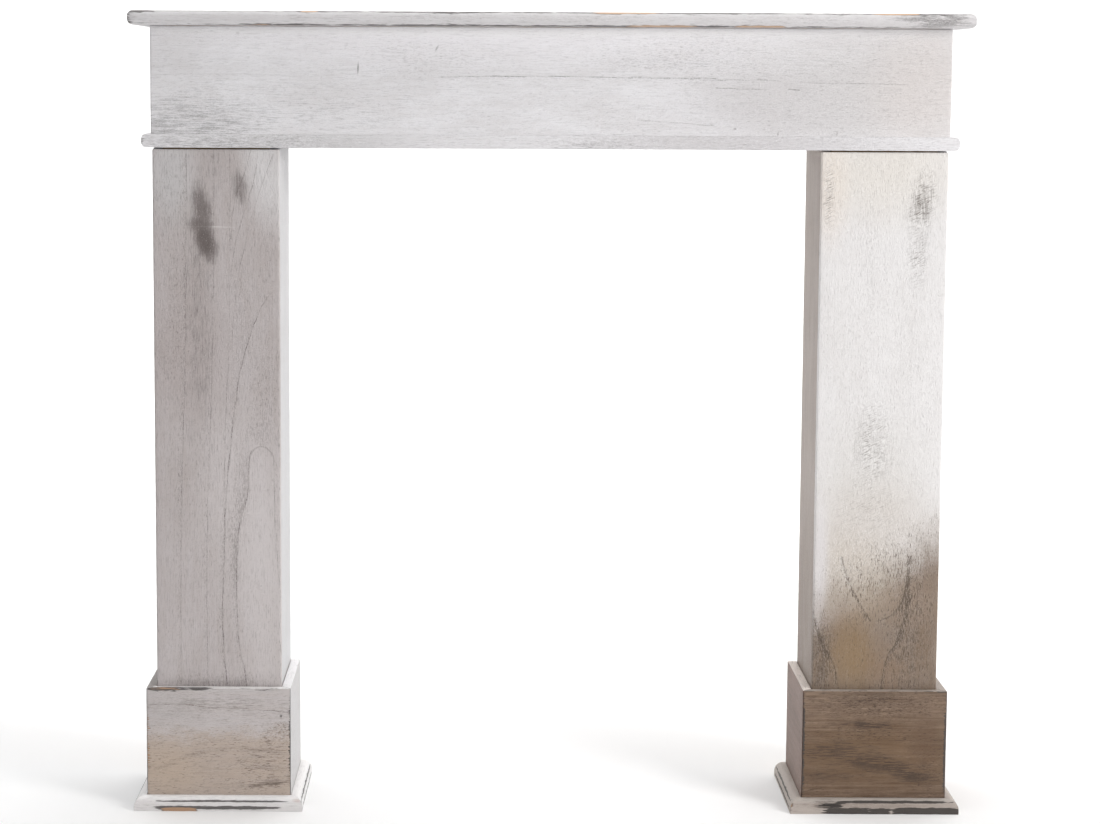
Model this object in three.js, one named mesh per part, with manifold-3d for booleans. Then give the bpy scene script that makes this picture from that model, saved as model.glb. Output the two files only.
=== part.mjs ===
// A whitewashed wooden fireplace mantelpiece, put together as a joiner would: box legs of thin
// boards, mitred plinths and base mouldings round their feet, a bullnosed necking board laid across
// both legs, a frieze box on it and a bullnosed shelf on top. The back is open, against the wall.
//
// Millimetres, +Z up. X = 0 is the middle, Z = 0 is the floor, and Y = 0 is half way between the
// wall, at +Y, and the foremost moulding. The frieze looks toward -Y.
//
// Each piece is what its plan, front and side outlines have in common, so a rounding drawn in one
// view runs along the whole piece, and two roundings meet in a mitre at a corner.

import * as THREE from "three";
import { mergeVertices } from "three/addons/utils/BufferGeometryUtils.js";
import Module from "manifold-3d";

// Across the front
const friezeLength = 1000;
const shelfOverhang = 25; // past the frieze, at the front and at both ends
const neckingEndOverhang = 12; // past the frieze, at both ends
const legInset = 1.5; // in from the frieze's ends
const legWidth = 159;

// Up from the floor
const openingHeight = 843; // floor to the underside of the necking board
const neckingThickness = 17;
const friezeHeight = 134;
const shelfThickness = 18;
const plinthHeight = 157;
const baseHeight = 18;

// Out from the wall
const friezeDepth = 173;
const legSetback = 1; // behind the frieze's face
const neckingReveal = 1.5; // in front of the frieze's face

// Board and moulding stock
const boardThickness = 12; // frieze and leg boards
const plinthThickness = 12.5;
const baseWidth = 15; // how far the moulding's foot stands out from the plinth

// Gaps and edges
const joint = 0.3; // hairline between pieces that touch
const shadowGap = 1.8; // between the necking board and the legs' front boards
const shelfRound = 7;
const neckingRound = 6;
const baseRound = 12;
const legTopRound = 5; // worn top corners of the legs' front boards
const easedEdge = 1.5;
const arcSteps = 6; // straight steps in each quarter round

// Colours read off the wood, which the wash covers less toward the floor
const whitewash = new THREE.MeshStandardMaterial({ color: 0xdedcd8, roughness: 0.75, metalness: 0 });
const greyWash = new THREE.MeshStandardMaterial({ color: 0xc2bdb6, roughness: 0.8, metalness: 0 });
const thinWash = new THREE.MeshStandardMaterial({ color: 0xa39485, roughness: 0.8, metalness: 0 });

// Where the pieces meet
const plinthProud = joint + plinthThickness;
const baseProud = joint + baseWidth;
const legDepth = friezeDepth - legSetback;
const foremost = Math.max(friezeDepth + shelfOverhang, legDepth + plinthProud + baseProud);
const wall = foremost / 2;
const friezeFace = wall - friezeDepth;
const legFace = wall - legDepth;
const friezeEnd = friezeLength / 2;
const legOuter = friezeEnd - legInset;
const legInner = legOuter - legWidth;
const neckingTop = openingHeight + neckingThickness;
const friezeBottom = neckingTop + joint;
const friezeTop = friezeBottom + friezeHeight;
const shelfBottom = friezeTop + joint;
const reach = 2 * (friezeLength + openingHeight + friezeDepth); // longer than any piece

const wasm = await Module();
wasm.setup();

const xAxis = new THREE.Vector3(1, 0, 0);
const yAxis = new THREE.Vector3(0, 1, 0);
const zAxis = new THREE.Vector3(0, 0, 1);

// Each view's two drawing directions, and the direction its outline is extruded in
const views = {
  plan: new THREE.Matrix4().makeBasis(xAxis, yAxis, zAxis),
  front: new THREE.Matrix4().makeBasis(xAxis, zAxis, yAxis.clone().negate()),
  side: new THREE.Matrix4().makeBasis(yAxis, zAxis, xAxis),
};

// An outline's points, from [u, v] pairs
function polygon(pairs) {
  return pairs.map(([u, v]) => new THREE.Vector2(u, v));
}

// A rectangle over two spans. rounds holds the radius at each corner, counter-clockwise from the
// one where both spans begin.
function rectangle([u0, u1], [v0, v1], rounds = [0, 0, 0, 0]) {
  const middle = new THREE.Vector2((u0 + u1) / 2, (v0 + v1) / 2);
  const corners = polygon([[u0, v0], [u1, v0], [u1, v1], [u0, v1]]);
  return corners.flatMap((corner, i) => {
    const radius = rounds[i];
    if (radius === 0) return [corner];
    const centre = new THREE.Vector2(
      corner.x + radius * Math.sign(middle.x - corner.x),
      corner.y + radius * Math.sign(middle.y - corner.y),
    );
    return Array.from({ length: arcSteps + 1 }, (_, step) => {
      const angle = Math.PI * (1 + i / 2 + step / arcSteps / 2);
      return new THREE.Vector2(Math.cos(angle), Math.sin(angle)).multiplyScalar(radius).add(centre);
    });
  });
}

// An outline run out to both sides along its view's line of sight
function prism(points, view) {
  const geometry = new THREE.ExtrudeGeometry(new THREE.Shape(points), {
    depth: 2 * reach,
    bevelEnabled: false,
  });
  geometry.translate(0, 0, -reach);
  geometry.applyMatrix4(views[view]);
  geometry.deleteAttribute("normal");
  geometry.deleteAttribute("uv");
  const merged = mergeVertices(geometry);
  return new wasm.Manifold(new wasm.Mesh({
    numProp: 3,
    vertProperties: merged.attributes.position.array,
    triVerts: Uint32Array.from(merged.index.array),
  }));
}

// A block over three spans, with the corners of any of its three outlines rounded
function block({ x, y, z }, rounds = {}) {
  const outlines = {
    plan: rectangle(x, y, rounds.plan),
    front: rectangle(x, z, rounds.front),
    side: rectangle(y, z, rounds.side),
  };
  const prisms = Object.entries(outlines).map(([view, points]) => prism(points, view));
  return prisms.reduce((solid, next) => solid.intersect(next));
}

const mantelpiece = new THREE.Group();
mantelpiece.name = "mantelpiece";

function add(name, solid, material) {
  const { vertProperties, triVerts } = solid.getMesh();
  const geometry = new THREE.BufferGeometry();
  geometry.setAttribute("position", new THREE.BufferAttribute(vertProperties, 3));
  geometry.setIndex(new THREE.BufferAttribute(triVerts, 1));
  geometry.computeVertexNormals();
  const mesh = new THREE.Mesh(geometry, material.clone());
  mesh.name = name;
  mantelpiece.add(mesh);
}

// A radius, kept within half of the piece it rounds
function within(radius, thickness) {
  return Math.min(radius, thickness / 2);
}

// The shelf: a full-depth board with its front and both ends rounded over, above and below
function addShelf() {
  const halfLength = friezeEnd + shelfOverhang;
  const round = within(shelfRound, shelfThickness);
  add("shelf", block({
    x: [-halfLength, halfLength],
    y: [friezeFace - shelfOverhang, wall],
    z: [shelfBottom, shelfBottom + shelfThickness],
  }, {
    plan: [easedEdge, easedEdge, 0, 0],
    front: [round, round, round, round],
    side: [round, 0, 0, round],
  }), whitewash);
}

// The necking board: rounded ends stand out past the frieze, its front edge barely does
function addNecking() {
  const halfLength = friezeEnd + neckingEndOverhang;
  const round = within(neckingRound, neckingThickness);
  const frontRound = within(neckingReveal, neckingThickness);
  add("necking_board", block({
    x: [-halfLength, halfLength],
    y: [friezeFace - neckingReveal, wall],
    z: [openingHeight, neckingTop],
  }, {
    plan: [easedEdge, easedEdge, 0, 0],
    front: [round, round, round, round],
    side: [frontRound, 0, 0, frontRound],
  }), whitewash);
}

// The frieze box: one wide face board with a short return behind each end
function addFrieze() {
  const z = [friezeBottom, friezeTop];
  add("frieze_face", block({
    x: [-friezeEnd, friezeEnd],
    y: [friezeFace, friezeFace + boardThickness],
    z,
  }, { plan: [easedEdge, easedEdge, 0, 0] }), whitewash);
  const y = [friezeFace + boardThickness + joint, wall];
  const left = [-friezeEnd, -friezeEnd + boardThickness];
  const right = [friezeEnd - boardThickness, friezeEnd];
  add("frieze_left_return", block({ x: left, y, z }), whitewash);
  add("frieze_right_return", block({ x: right, y, z }), whitewash);
}

// A box leg: a face board over the front edges of two side boards. side is -1 or 1.
function addLeg(name, side) {
  const across = (near, far) => [side * near, side * far].sort((a, b) => a - b);
  add(`${name}_leg_face`, block({
    x: across(legInner, legOuter),
    y: [legFace, legFace + boardThickness],
    z: [0, openingHeight - shadowGap],
  }, {
    plan: [easedEdge, easedEdge, 0, 0],
    front: [0, 0, legTopRound, legTopRound],
  }), greyWash);
  const y = [legFace + boardThickness + joint, wall];
  const z = [0, openingHeight - joint];
  const inner = across(legInner, legInner + boardThickness);
  const outer = across(legOuter - boardThickness, legOuter);
  add(`${name}_leg_inner_side`, block({ x: inner, y, z }), greyWash);
  add(`${name}_leg_outer_side`, block({ x: outer, y, z }), greyWash);
}

// Three lengths, mitred at the two front corners, round the front and sides of what they wrap.
// inner and outer give the x span and the front of the hollow and of the whole surround.
function addSurround(names, inner, outer, z, rounds, material) {
  const y = [outer.front, wall];
  const hollow = prism(rectangle(inner.x, [inner.front, reach]), "plan");
  const surround = block({ x: outer.x, y, z }, rounds).subtract(hollow);
  const mitreGap = joint * Math.SQRT1_2;
  const frontLength = polygon([
    [outer.x[0] + mitreGap, outer.front],
    [outer.x[1] - mitreGap, outer.front],
    [inner.x[1] - mitreGap, inner.front],
    [inner.x[0] + mitreGap, inner.front],
  ]);
  const leftLength = polygon([
    [outer.x[0], outer.front + mitreGap],
    [inner.x[0], inner.front + mitreGap],
    [inner.x[0], wall],
    [outer.x[0], wall],
  ]);
  const rightLength = polygon([
    [outer.x[1], outer.front + mitreGap],
    [outer.x[1], wall],
    [inner.x[1], wall],
    [inner.x[1], inner.front + mitreGap],
  ]);
  const lengths = [frontLength, leftLength, rightLength];
  lengths.forEach((length, i) => add(names[i], surround.intersect(prism(length, "plan")), material));
}

// A leg's foot: boards round it up to the plinth's height, and a rounded moulding round those
function addFoot(name, side) {
  const sideNames = side < 0 ? ["outer_side", "inner_side"] : ["inner_side", "outer_side"];
  const grown = ({ x, front }, by) => ({ x: [x[0] - by, x[1] + by], front: front - by });
  const namesOf = (part) => ["face", ...sideNames].map((place) => `${name}_${part}_${place}`);
  const legSpan = [side * legInner, side * legOuter].sort((a, b) => a - b);
  const leg = { x: legSpan, front: legFace };
  const plinthInner = grown(leg, joint);
  const plinth = grown(leg, plinthProud);
  addSurround(namesOf("plinth"), plinthInner, plinth, [0, plinthHeight], {
    plan: [easedEdge, easedEdge, 0, 0],
    front: [0, 0, easedEdge, easedEdge],
    side: [0, 0, 0, easedEdge],
  }, thinWash);
  const baseInner = grown(plinth, joint);
  const base = grown(plinth, baseProud);
  const round = Math.min(baseRound, baseWidth, baseHeight);
  addSurround(namesOf("base"), baseInner, base, [0, baseHeight], {
    front: [0, 0, round, round],
    side: [0, 0, 0, round],
  }, greyWash);
}

addShelf();
addNecking();
addFrieze();
for (const [name, side] of [["left", -1], ["right", 1]]) {
  addLeg(name, side);
  addFoot(name, side);
}

export default mantelpiece;
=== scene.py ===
# %% [markdown]
# # A whitewashed mantelpiece
#
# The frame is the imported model: every board at its true size and place, in metres. This lesson dresses
# it. Each board gets a new mesh in the same space, with eased and worn arrises, and a whitewash made
# of nodes.

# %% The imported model
import math
import random

import bmesh
import bpy
from mathutils import Matrix, Vector, noise


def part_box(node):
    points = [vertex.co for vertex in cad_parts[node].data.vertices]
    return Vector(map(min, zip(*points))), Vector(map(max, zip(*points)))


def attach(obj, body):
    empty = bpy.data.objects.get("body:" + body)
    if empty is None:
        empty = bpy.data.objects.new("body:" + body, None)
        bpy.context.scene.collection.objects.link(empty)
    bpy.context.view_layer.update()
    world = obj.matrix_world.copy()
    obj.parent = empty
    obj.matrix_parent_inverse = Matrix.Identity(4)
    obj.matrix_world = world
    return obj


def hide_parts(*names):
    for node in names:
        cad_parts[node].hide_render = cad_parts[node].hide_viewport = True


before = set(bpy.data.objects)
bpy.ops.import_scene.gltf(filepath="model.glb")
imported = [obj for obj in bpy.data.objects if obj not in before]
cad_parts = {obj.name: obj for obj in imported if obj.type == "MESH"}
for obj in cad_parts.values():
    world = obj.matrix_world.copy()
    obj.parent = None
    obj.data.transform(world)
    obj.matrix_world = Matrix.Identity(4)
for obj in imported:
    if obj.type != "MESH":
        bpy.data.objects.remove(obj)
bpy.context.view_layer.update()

# %% [markdown]
# ## The camera
#
# A camera could be placed by eye. Here it is worked out: the photograph's verticals and receding
# edges give a long lens at the height of the frieze, tipped down, that looks square at the piece.
# The picture is a crop of a wider one, so a small shift takes the place of a turn.

# %% The camera
MM = 0.001
PHOTO_WIDTH, PHOTO_HEIGHT = 1100, 824
FOCAL_LENGTH = 2768  # in the photograph's pixels
AXIS_COLUMN = 488.3  # where the lens's axis meets the photograph
CAMERA_FROM_FRIEZE = Vector((-80, -3475, 930)) * MM
TIPPED_DOWN = math.radians(6.86)
TURNED = math.radians(-0.06)
ROLLED = math.radians(0.27)

frieze_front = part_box("frieze_face")[0][1]
camera_place = CAMERA_FROM_FRIEZE + Vector((0, frieze_front, 0))
camera_turn = (Matrix.Rotation(TURNED, 4, "Z") @ Matrix.Rotation(math.pi / 2 - TIPPED_DOWN, 4, "X")
               @ Matrix.Rotation(ROLLED, 4, "Z"))

lens = bpy.data.cameras.new("camera")
lens.sensor_fit = "HORIZONTAL"
lens.lens = lens.sensor_width * FOCAL_LENGTH / PHOTO_WIDTH
lens.shift_x = 0.5 - AXIS_COLUMN / PHOTO_WIDTH
camera = bpy.data.objects.new("camera", lens)
camera.matrix_world = Matrix.Translation(camera_place) @ camera_turn
bpy.context.scene.collection.objects.link(camera)
bpy.context.scene.camera = camera
print("camera at", [round(v, 3) for v in camera_place], "with a lens of", round(lens.lens, 1), "mm")


# %% A point of the photograph, on the front of a board
def seen_at(column, row, front):
    """Where the line of sight through a pixel meets the upright plane y = front."""
    sight = camera_turn @ Vector(((column - AXIS_COLUMN) / FOCAL_LENGTH,
                                  (PHOTO_HEIGHT / 2 - row) / FOCAL_LENGTH, -1))
    return camera_place + sight * ((front - camera_place.y) / sight.y)


# %% [markdown]
# ## Short calls for meshes and nodes
#
# A finished mesh becomes an object at the origin, unturned and unscaled. Node trees are written as
# sums: each short call adds one node and returns the socket that carries its result.


# %% From a bmesh to an object
def add_object(name, bm):
    mesh = bpy.data.meshes.new(name)
    bm.to_mesh(mesh)
    bm.free()
    made = bpy.data.objects.new(name, mesh)
    bpy.context.scene.collection.objects.link(made)
    return made


# %% Nodes from short calls
def shown(red, green, blue):
    """A colour as shown on a display, 0 to 255, as the linear values that nodes take."""
    def linear(v):
        v /= 255
        return v / 12.92 if v <= 0.04045 else ((v + 0.055) / 1.055) ** 2.4
    return (linear(red), linear(green), linear(blue), 1)


class Nodes:
    """Adds nodes to a material or a world. Each method but join returns a socket."""

    def __init__(self, owner):
        owner.use_nodes = True
        self.tree = owner.node_tree

    def add(self, kind, inputs=(), output=0, **settings):
        made = self.tree.nodes.new("ShaderNode" + kind)
        for key, value in settings.items():
            setattr(made, key, value)
        for key, value in dict(inputs).items():
            if isinstance(value, bpy.types.NodeSocket):
                self.tree.links.new(value, made.inputs[key])
            else:
                made.inputs[key].default_value = value
        return made.outputs[output]

    def maths(self, operation, a, b=0.0, clamp=False):
        return self.add("Math", {0: a, 1: b}, operation=operation, use_clamp=clamp)

    def times(self, a, b):
        return self.maths("MULTIPLY", a, b)

    def most(self, a, b):
        return self.maths("MAXIMUM", a, b)

    def sum(self, *values):
        total = values[0]
        for value in values[1:]:
            total = self.maths("ADD", total, value)
        return total

    def scaled(self, vector, factors):
        return self.add("VectorMath", {0: vector, 1: factors}, operation="MULTIPLY")

    def length(self, vector):
        return self.add("VectorMath", {0: vector}, output=1, operation="LENGTH")

    def noise(self, vector, lengths, detail=2.0, roughness=0.5):
        """Noise from 0 to 1 whose features have the given lengths along the three directions."""
        stretched = self.scaled(vector, [1 / length for length in lengths])
        return self.add("TexNoise", {"Vector": stretched, "Scale": 1.0, "Detail": detail,
                                     "Roughness": roughness})

    def swing(self, *settings, **more):
        """The same noise, from -0.5 to 0.5."""
        return self.maths("SUBTRACT", self.noise(*settings, **more), 0.5)

    def fade(self, value, start, end, low=0.0, high=1.0):
        """Runs smoothly from low to high as the value goes from start to end."""
        return self.add("MapRange", {"Value": value, "From Min": start, "From Max": end,
                                     "To Min": low, "To Max": high}, interpolation_type="SMOOTHSTEP")

    def mixed(self, share, first, second):
        return self.add("Mix", {0: share, 6: first, 7: second}, output=2, data_type="RGBA")

    def ramp(self, value, stops):
        made = self.add("ValToRGB", {0: value}).node
        elements = made.color_ramp.elements
        elements.remove(elements[1])
        for i, (place, height) in enumerate(stops):
            element = elements[0] if i == 0 else elements.new(place)
            element.position = place
            element.color = (height, height, height, 1)
        return made.outputs[0]

    def join(self, node, results):
        """Sets inputs of a node that the tree has from the start, by its name."""
        for socket, result in results.items():
            if isinstance(result, bpy.types.NodeSocket):
                self.tree.links.new(result, self.tree.nodes[node].inputs[socket])
            else:
                self.tree.nodes[node].inputs[socket].default_value = result


# %% [markdown]
# ## The studio
#
# The photograph has no room: only white all round. A white floor that sweeps up into a backdrop
# gives that, with no line where they meet. Its paper is clear from the outside, so the piece can be
# seen from behind as well, and thins out away from the lights, so no edge of the floor shows. The key
# is one large soft light to the right of the camera, so the front fades to the left and the left
# leg's inner side is the brightest face. The sky gives a little light from all round, but is plain
# white to look at.

# %% The sweep
SWEEP_HALF_WIDTH = 6.0
SWEEP_FRONT, SWEEP_BACK = -6.0, 2.2
SWEEP_HEIGHT = 4.0
SWEEP_BEND = 1.2
PAPER_WHITE, PAPER_ROUGHNESS = 0.94, 0.9
PAPER_THINS, PAPER_ENDS = 1.9, 3.2  # metres from the piece, to the sides and the front


def make_sweep():
    bm = bmesh.new()
    edge = [bm.verts.new((x, SWEEP_FRONT, 0)) for x in (-SWEEP_HALF_WIDTH, SWEEP_HALF_WIDTH)]
    run = [bm.edges.new(edge)]
    for step in ((0, SWEEP_BACK - SWEEP_FRONT, 0), (0, 0, SWEEP_HEIGHT)):
        grown = bmesh.ops.extrude_edge_only(bm, edges=run)["geom"]
        bmesh.ops.translate(bm, vec=step, verts=[v for v in grown if isinstance(v, bmesh.types.BMVert)])
        run = [e for e in grown if isinstance(e, bmesh.types.BMEdge) and e.is_boundary
               and len({round(v.co.y, 4) for v in e.verts}) == 1
               and len({round(v.co.z, 4) for v in e.verts}) == 1]
    crease = [e for e in bm.edges if not e.is_boundary]
    bmesh.ops.bevel(bm, geom=crease, offset=SWEEP_BEND, affect="EDGES", segments=24, profile=0.5,
                    material=-1)
    bmesh.ops.recalc_face_normals(bm, faces=bm.faces)
    if min(bm.faces, key=lambda face: face.calc_center_median().z).normal.z < 0:
        bmesh.ops.reverse_faces(bm, faces=bm.faces)
    for face in bm.faces:
        face.smooth = True
    return add_object("sweep", bm)


sweep = make_sweep()
print("sweep of", len(sweep.data.polygons), "faces")

# %% Its paper
sweep_paint = bpy.data.materials.new("sweep_paint")
paper = Nodes(sweep_paint)
paper.join("Principled BSDF", {"Base Color": (PAPER_WHITE, PAPER_WHITE, PAPER_WHITE, 1),
                               "Roughness": PAPER_ROUGHNESS})
place = paper.add("NewGeometry", output="Position")
# what lies behind or above counts as near, so the backdrop stays
forward = paper.add("VectorMath", {0: place, 1: (PAPER_ENDS, 0, 0)}, operation="MINIMUM")
thinned = paper.fade(paper.length(forward), PAPER_THINS, PAPER_ENDS)
see_through = paper.most(thinned, place.node.outputs["Backfacing"])
one_way = paper.add("MixShader", {0: see_through, 1: paper.tree.nodes["Principled BSDF"].outputs[0],
                                  2: paper.add("BsdfTransparent")})
paper.join("Material Output", {"Surface": one_way})
sweep.data.materials.append(sweep_paint)
print("paper of", len(paper.tree.nodes), "nodes")

# %% The lights
SKY_LIGHT = 0.315  # the white sky shines as if it were this grey


def add_light(name, place, target, size, watts, colour=(1, 1, 1)):
    light = bpy.data.lights.new(name, "AREA")
    light.shape = "RECTANGLE"
    light.size, light.size_y = size
    light.energy = watts
    light.color = colour
    lamp = bpy.data.objects.new(name, light)
    lamp.location = place
    lamp.visible_camera = False
    lamp.rotation_euler = (Vector(target) - Vector(place)).to_track_quat("-Z", "Y").to_euler()
    bpy.context.scene.collection.objects.link(lamp)


add_light("key", (2.6, -2.4, 1.7), (0.1, 0, 0.75), (1.2, 1.6), 80, (1.0, 0.985, 0.97))
add_light("overhead", (0, 0.5, 2.8), (0, 0.5, 0), (4.5, 2.6), 72)
add_light("backdrop", (0, 0.8, 1.6), (0, 3.0, 1.0), (5.0, 0.6), 20)

world = bpy.data.worlds.new("studio")
sky = Nodes(world)
seen = sky.add("LightPath", output="Is Camera Ray")
sky.join("Background", {"Color": (1, 1, 1, 1), "Strength": sky.add(
    "MapRange", {"Value": seen, "To Min": SKY_LIGHT, "To Max": 1.0})})
bpy.context.scene.world = world
bpy.context.scene.view_settings.view_transform = "Standard"

# %% [markdown]
# ## Boards with worn arrises
#
# On the real piece no arris is sharp: each is eased with a plane, then rubbed through the wash, and
# here and there it has lost a splinter. A Bevel modifier would ease the edges, but all alike. So each
# board is a cube, stretched to its packed box, cut into short lengths and bevelled in bmesh. Then the
# arrises are worn back by a noise that runs along them. How deep each point is worn, and how far it
# shows bare wood, is kept in two attributes, so that the colour follows the shape.

# %% A board of short lengths
BOARD_STEP = 7 * MM  # between cuts, along and across a board
EASED = 1.5 * MM
SUPPORT = 3 * MM  # from an eased edge to the first loop on the flat
TOUCHING = 0.1 * MM  # nearer than this, two places count as one


def stretched_cube(low, high):
    bm = bmesh.new()
    bmesh.ops.create_cube(bm, size=1)
    bmesh.ops.scale(bm, vec=high - low, verts=bm.verts)
    bmesh.ops.translate(bm, vec=(low + high) / 2, verts=bm.verts)
    return bm


def cut_into_steps(bm, low, high, step=BOARD_STEP):
    """Cuts the long edges into short ones, one direction at a time."""
    for axis in range(3):
        cuts = int((high - low)[axis] / step) - 1
        if cuts < 2:
            continue
        along = [e for e in bm.edges
                 if abs((e.verts[1].co - e.verts[0].co).normalized()[axis]) > 0.99]
        bmesh.ops.subdivide_edges(bm, edges=along, cuts=cuts, use_grid_fill=True)


def arrises(bm, chosen=lambda middle: True):
    """The sharp edges whose middle passes the test."""
    return [e for e in bm.edges if len(e.link_faces) == 2 and e.calc_face_angle() > 1
            and chosen((e.verts[0].co + e.verts[1].co) / 2)]


def round_over(bm, edges, radius, segments):
    bmesh.ops.bevel(bm, geom=edges, offset=radius, offset_type="OFFSET", affect="EDGES",
                    segments=segments, profile=0.5, material=-1, clamp_overlap=True)


def support_flats(bm, chosen=lambda face: True):
    """Frames each chosen flat side with a loop close to its edge, so the shading bends only there.

    A side with small round corners is left out: the loop would fold over in them."""
    sides = {}
    for face in filter(chosen, bm.faces):
        for axis in range(3):
            if abs(face.normal[axis]) > 0.999:
                sides.setdefault((axis, face.normal[axis] > 0), []).append(face)
    for (axis, _), side in sides.items():
        points = [v.co for face in side for v in face.verts]
        extents = [max(p[i] for p in points) - min(p[i] for p in points) for i in range(3) if i != axis]
        if min(extents) > 3 * SUPPORT:
            bmesh.ops.inset_region(bm, faces=side, thickness=SUPPORT, use_boundary=True,
                                   use_even_offset=True)


# %% Wear along the arrises
WEAR_REACH = 7 * MM  # how far from an arris the wash is rubbed
RUBBED = 0.25 * MM  # taken off every arris
CHIPPED = 0.9 * MM  # taken off where a splinter is gone
LONG_PATCH, SHORT_PATCH = 60 * MM, 9 * MM


def near_arris(point, low, high):
    """1 on the corner lines of the box, 0 on the flats."""
    gaps = sorted(min(point[i] - low[i], high[i] - point[i]) for i in range(3))
    return max(0.0, 1 - math.hypot(gaps[0], gaps[1]) / WEAR_REACH)


def patchy(point, seed, length):
    """Smooth noise from 0 to 1, in patches of about the given length."""
    return 0.5 + 0.5 * noise.noise(point / length + Vector((seed, 2.7 * seed, -1.3 * seed)))


def inside_stretch(point, first, last):
    """1 along the middle of a box, sinking to 0 at its ends and sides."""
    share = 1.0
    for i in range(3):
        across = abs(2 * (point[i] - first[i]) / (last[i] - first[i]) - 1)
        share *= max(0.0, 1 - across ** 4)
    return share


def wear_down(bm, low, high, seed, amount, stretches=()):
    """Wears the arrises back and fills the attributes worn and bare.

    A stretch is (lowest corner, highest corner, how worn, how bare)."""
    worn_layer = bm.verts.layers.float.new("worn")
    bare_layer = bm.verts.layers.float.new("bare")
    bmesh.ops.recalc_face_normals(bm, faces=bm.faces)
    bm.normal_update()
    moves = []
    for v in bm.verts:
        closeness = near_arris(v.co, low, high)
        long_patch = patchy(v.co, seed, LONG_PATCH)
        short_patch = patchy(v.co, seed + 40, SHORT_PATCH)
        worn = amount * closeness * (0.3 + 1.6 * max(0.0, long_patch - 0.35))
        bare = 0.0
        for first, last, how_worn, how_bare in stretches:
            inside = inside_stretch(v.co, first, last)
            worn = max(worn, how_worn * inside * (0.55 + 0.8 * short_patch))
            bare = max(bare, how_bare * inside)
        chip = max(0.0, short_patch - 0.55) * 2
        v[worn_layer] = min(worn, 1.0)
        v[bare_layer] = bare
        moves.append((v, -v.normal * closeness * (RUBBED * short_patch + CHIPPED * chip * worn)))
    for v, move in moves:
        v.co = Vector(min(max(a, lowest), highest) for a, lowest, highest in zip(v.co + move, low, high))


# %% A dressed piece
SHARP = math.radians(40)


def finish_piece(name, bm, finish, inward=None, inside=lambda face: False):
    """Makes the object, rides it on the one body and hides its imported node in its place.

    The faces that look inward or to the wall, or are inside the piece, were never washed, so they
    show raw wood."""
    bmesh.ops.recalc_face_normals(bm, faces=bm.faces)
    for face in bm.faces:
        face.smooth = True
        hidden = (face.normal.y > 0.9 or (inward is not None and face.normal.dot(inward) > 0.9)
                  or inside(face))
        face.material_index = 1 if hidden else 0
    for edge in bm.edges:
        edge.smooth = len(edge.link_faces) == 2 and edge.calc_face_angle() < SHARP
    piece = add_object(f"{name}_worn", bm)
    piece.data.materials.append(finish)
    piece.data.materials.append(raw_wood(finish["grain"]))
    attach(piece, "root")
    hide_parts(name)
    return piece


# %% [markdown]
# ## A whitewash made of nodes
#
# Whitewash is thin: the year rings, the pores and the brown of the wood show through, and it is
# thicker in some strokes than in others. Painted images could give that, but they stop at their own
# resolution. Noise in Object coordinates has no end, and runs on from a face to the edge beside it,
# as in solid wood. Each board has its own `whitewash(...)`, built by one function.
#
# The year rings are real rings. A board is cut from a log, so the distance from the log's middle,
# the pith, gives the lines and arches of a sawn board: the more the board leans to the log, the
# shorter the arches. Where the photograph shows a line clearly, it is drawn through its points.

# %% Year rings from the pith
# all in mm
LOG_REACH = 200  # the widest ring that a board can show
LINE_INWARDS, LINE_OUTWARDS = 0.9, 1.2  # how far the dark line of a ring reaches
RING_FADE = 9  # how far outside a ring its open pores reach
FIRST_RING, RING_SPACING = 12, 21
MOST_RINGS = 7
RAMP_STOPS = 32  # more don't fit on one colour ramp


def ring_profile(nodes, radius, rings):
    """1 on a year ring, fading outwards where the pores are open. rings holds (radius, strength)."""
    stops = [(0.0, 0.0)]
    for ring, strength in rings:
        stops += [((ring - LINE_INWARDS) / LOG_REACH, 0.0), (ring / LOG_REACH, strength),
                  ((ring + LINE_OUTWARDS) / LOG_REACH, 0.55 * strength),
                  (min((ring + RING_FADE) / LOG_REACH, 1.0), 0.0)]
    stops.sort(key=lambda stop: stop[0])
    return nodes.ramp(nodes.maths("DIVIDE", radius, LOG_REACH), stops[:RAMP_STOPS])


def growth(seed):
    """Rings for a board whose figure hardly shows: a seeded run of widths and strengths."""
    draw = random.Random(seed)
    rings, radius = [], FIRST_RING
    while radius < LOG_REACH - RING_FADE and len(rings) < MOST_RINGS:
        rings.append((radius, draw.uniform(0.25, 0.8)))
        radius += RING_SPACING * draw.uniform(0.75, 1.3)
    return rings


# %% Single grain lines
def grain_line(nodes, along, across, waver, points, width, side=0):
    """Two masks: 1 on a smooth line through the points, and 1 on its pored side.

    The points are (along, across) in mm, and so are the sockets. The line is a Float Curve, which
    bends through its points as a drawn line does."""
    points = sorted(points)
    first, last = points[0][0], points[-1][0]
    lowest = min(b for a, b in points)
    span = max(max(b for a, b in points) - lowest, 1.0)
    share = nodes.maths("DIVIDE", nodes.maths("SUBTRACT", along, first), last - first)
    curve = nodes.add("FloatCurve", {"Value": share}).node
    knots = curve.mapping.curves[0].points
    places = [((a - first) / (last - first), (b - lowest) / span) for a, b in points]
    knots[0].location, knots[1].location = places[0], places[-1]
    for knot in places[1:-1]:
        knots.new(*knot)
    curve.mapping.update()
    line = nodes.maths("ADD", nodes.times(curve.outputs[0], span), lowest)
    gap = nodes.sum(nodes.maths("SUBTRACT", across, line), waver)
    ends = nodes.times(nodes.fade(share, 0.0, 0.02), nodes.fade(share, 1.0, 0.98))
    on_line = nodes.times(nodes.fade(nodes.maths("ABSOLUTE", gap), width, width * 0.2), ends)
    if not side:
        return on_line, None
    beside = nodes.times(gap, side)
    zone = nodes.times(nodes.fade(beside, RING_FADE, 0.0), nodes.maths("GREATER_THAN", beside, 0.0))
    return on_line, nodes.times(zone, ends)


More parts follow.
